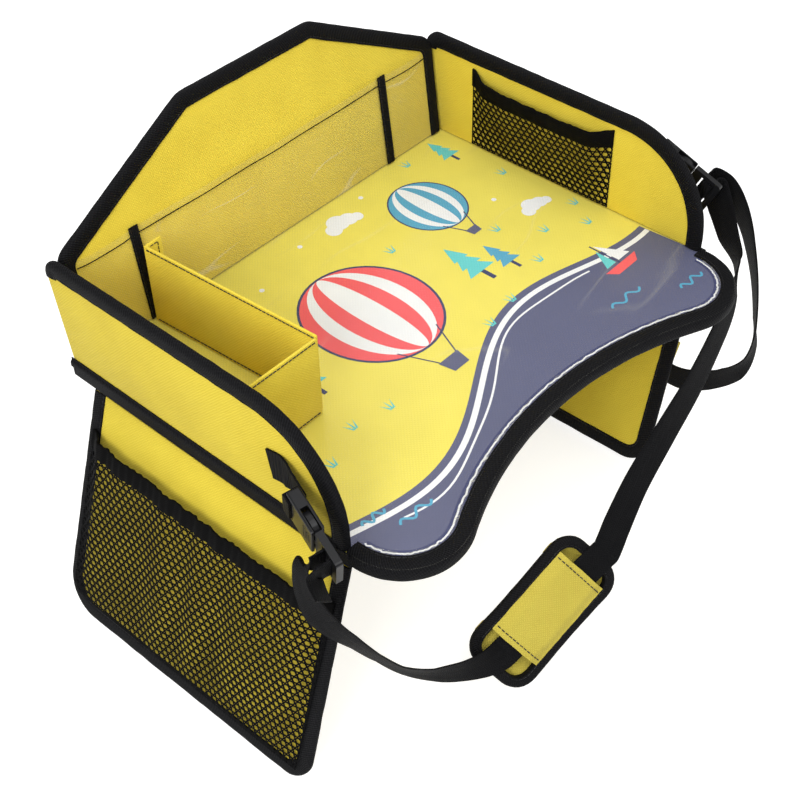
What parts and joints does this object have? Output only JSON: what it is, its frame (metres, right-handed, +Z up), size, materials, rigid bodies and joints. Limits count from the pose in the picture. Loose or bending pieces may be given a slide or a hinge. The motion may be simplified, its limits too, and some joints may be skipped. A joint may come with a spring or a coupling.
{
  "type": "car seat tray table",
  "caption": "Folding fabric travel tray with a belly cut-out, upright walls, hanging side flaps with pockets, a divider compartment and a padded strap with clip buckles.",
  "frame": {"origin": "centre of the tray board's underside: midway between the side walls, 150 mm in front of the rear wall's foot", "axes": "+X to the child's left across the tray, -Y towards the belly cut-out, +Z up out of the tray"},
  "size_m": [0.5277, 0.3842, 0.3589],
  "materials": {
    "yellow_fabric": "matte woven",
    "black_binding": "matte ribbed tape",
    "black_webbing": "matte woven webbing",
    "black_net": "matte net",
    "printed_cloth": "printed, smooth",
    "clear_film": "clear, glossy",
    "black_plastic": "satin moulded",
    "board": "cloth-covered board",
    "white_foam": "soft foam"
  },
  "bodies": {
    "tray": {"tray_board": "board", "tray_foam": "white_foam", "printed_sheet": "printed_cloth", "clear_cover_film": "clear_film", "front_binding": "black_binding", "left_seam_band": "black_binding", "right_seam_band": "black_binding", "rear_seam_band": "black_binding", "left_flap_hinge_tape": "black_binding", "right_flap_hinge_tape": "black_binding", "strap_left_run": "black_webbing", "strap_through_pad": "black_webbing", "strap_right_run": "black_webbing"},
    "rear_wall": {"rear_wall_panel": "yellow_fabric", "rear_wall_binding": "black_binding", "rear_pocket_film": "clear_film", "rear_pocket_strip_left": "black_binding", "rear_pocket_strip_right": "black_binding"},
    "left_wall": {"left_wall_panel": "yellow_fabric", "left_wall_binding": "black_binding", "left_wall_velcro": "black_binding", "left_tab": "black_webbing", "left_tab_loop": "black_webbing", "left_buckle_socket": "black_plastic"},
    "right_wall": {"right_wall_panel": "yellow_fabric", "right_wall_binding": "black_binding", "right_wall_net": "black_net", "right_wall_elastic": "black_binding", "right_tab": "black_webbing", "right_tab_loop": "black_webbing", "right_buckle_socket": "black_plastic"},
    "left_flap": {"left_flap_panel": "yellow_fabric", "left_flap_binding": "black_binding", "left_flap_net": "black_net", "left_flap_elastic": "black_binding"},
    "right_flap": {"right_flap_panel": "yellow_fabric", "right_flap_binding": "black_binding", "right_flap_pocket": "yellow_fabric"},
    "divider_long": {"divider_long_wall": "yellow_fabric"},
    "divider_end": {"divider_end_wall": "yellow_fabric"},
    "pad": {"pad_cushion": "yellow_fabric", "pad_binding": "black_binding", "pad_sleeve": "yellow_fabric"},
    "left_plug": {"left_buckle_plug": "black_plastic", "left_ladder_webbing": "black_webbing", "strap_left_lead": "black_webbing", "strap_left_end": "black_webbing"},
    "right_plug": {"right_buckle_plug": "black_plastic", "right_ladder_webbing": "black_webbing", "strap_right_lead": "black_webbing", "strap_right_tail": "black_webbing"},
    "left_prong_a": {"left_prong_upper": "black_plastic"},
    "left_prong_b": {"left_prong_lower": "black_plastic"},
    "right_prong_a": {"right_prong_upper": "black_plastic"},
    "right_prong_b": {"right_prong_lower": "black_plastic"}
  },
  "joints": [
    {"name": "rear_wall_fold", "type": "hinge", "parent": "tray", "child": "rear_wall", "pos_m": [0, 0.1563, 0.0126], "axis": [-1, 0, 0], "range_deg": [0, 75]},
    {"name": "left_wall_fold", "type": "hinge", "parent": "tray", "child": "left_wall", "pos_m": [-0.2067, 0, 0.0135], "axis": [0, -1, 0], "range_deg": [0, 85], "deforming": ["strap_left_lead", "strap_left_end", "strap_left_run"]},
    {"name": "right_wall_fold", "type": "hinge", "parent": "tray", "child": "right_wall", "pos_m": [0.2067, 0, 0.0135], "axis": [0, 1, 0], "range_deg": [0, 85], "deforming": ["strap_right_lead", "strap_right_tail", "strap_right_run"]},
    {"name": "left_flap_swing", "type": "hinge", "parent": "tray", "child": "left_flap", "pos_m": [-0.203, 0, -0.0034], "axis": [0, -1, 0], "range_deg": [-10, 100], "deforming": ["strap_left_run", "strap_left_end"]},
    {"name": "right_flap_swing", "type": "hinge", "parent": "tray", "child": "right_flap", "pos_m": [0.203, 0, -0.0034], "axis": [0, 1, 0], "range_deg": [-25, 62], "deforming": ["strap_right_run", "strap_right_tail"]},
    {"name": "divider_fold", "type": "hinge", "parent": "tray", "child": "divider_long", "pos_m": [-0.1214, -0.01693, 0.0123], "axis": [-0.0668, 0.9978, 0], "range_deg": [0, 60]},
    {"name": "divider_corner", "type": "hinge", "parent": "divider_long", "child": "divider_end", "pos_m": [-0.1225, -0.017, 0.0123], "axis": [0, 0, 1], "range_deg": [0, 90]},
    {"name": "pad_slide", "type": "slide", "parent": "tray", "child": "pad", "axis": [0.8449, -0.1443, 0.5151], "range_m": [-0.01, 0.01], "deforming": ["strap_left_run", "strap_through_pad", "strap_right_run"]},
    {"name": "left_unclip", "type": "slide", "parent": "left_wall", "child": "left_plug", "axis": [-0.2456, -0.917, -0.3144], "range_m": [0, 0.02], "deforming": ["strap_left_lead", "strap_left_end", "strap_left_run"]},
    {"name": "right_unclip", "type": "slide", "parent": "right_wall", "child": "right_plug", "axis": [0.1002, -0.9016, -0.4208], "range_m": [0, 0.02], "deforming": ["strap_right_lead", "strap_right_tail", "strap_right_run"]},
    {"name": "left_prong_squeeze", "type": "slide", "parent": "left_plug", "child": "left_prong_a", "axis": [0.2044, 0.268, -0.9415], "range_m": [0, 0.0022], "stiffness_N_per_m": 500},
    {"name": "left_prong_squeeze_lower", "type": "slide", "parent": "left_plug", "child": "left_prong_b", "axis": [-0.2044, -0.268, 0.9415], "range_m": [0, 0.0022], "stiffness_N_per_m": 500},
    {"name": "right_prong_squeeze", "type": "slide", "parent": "right_plug", "child": "right_prong_a", "axis": [-0.1097, 0.4103, -0.9053], "range_m": [0, 0.0022], "stiffness_N_per_m": 500},
    {"name": "right_prong_squeeze_lower", "type": "slide", "parent": "right_plug", "child": "right_prong_b", "axis": [0.1097, -0.4103, 0.9053], "range_m": [0, 0.0022], "stiffness_N_per_m": 500}
  ],
  "couplings": [
    {"joint": "left_prong_squeeze_lower", "follows": "left_prong_squeeze", "ratio": 1},
    {"joint": "right_prong_squeeze_lower", "follows": "right_prong_squeeze", "ratio": 1}
  ]
}
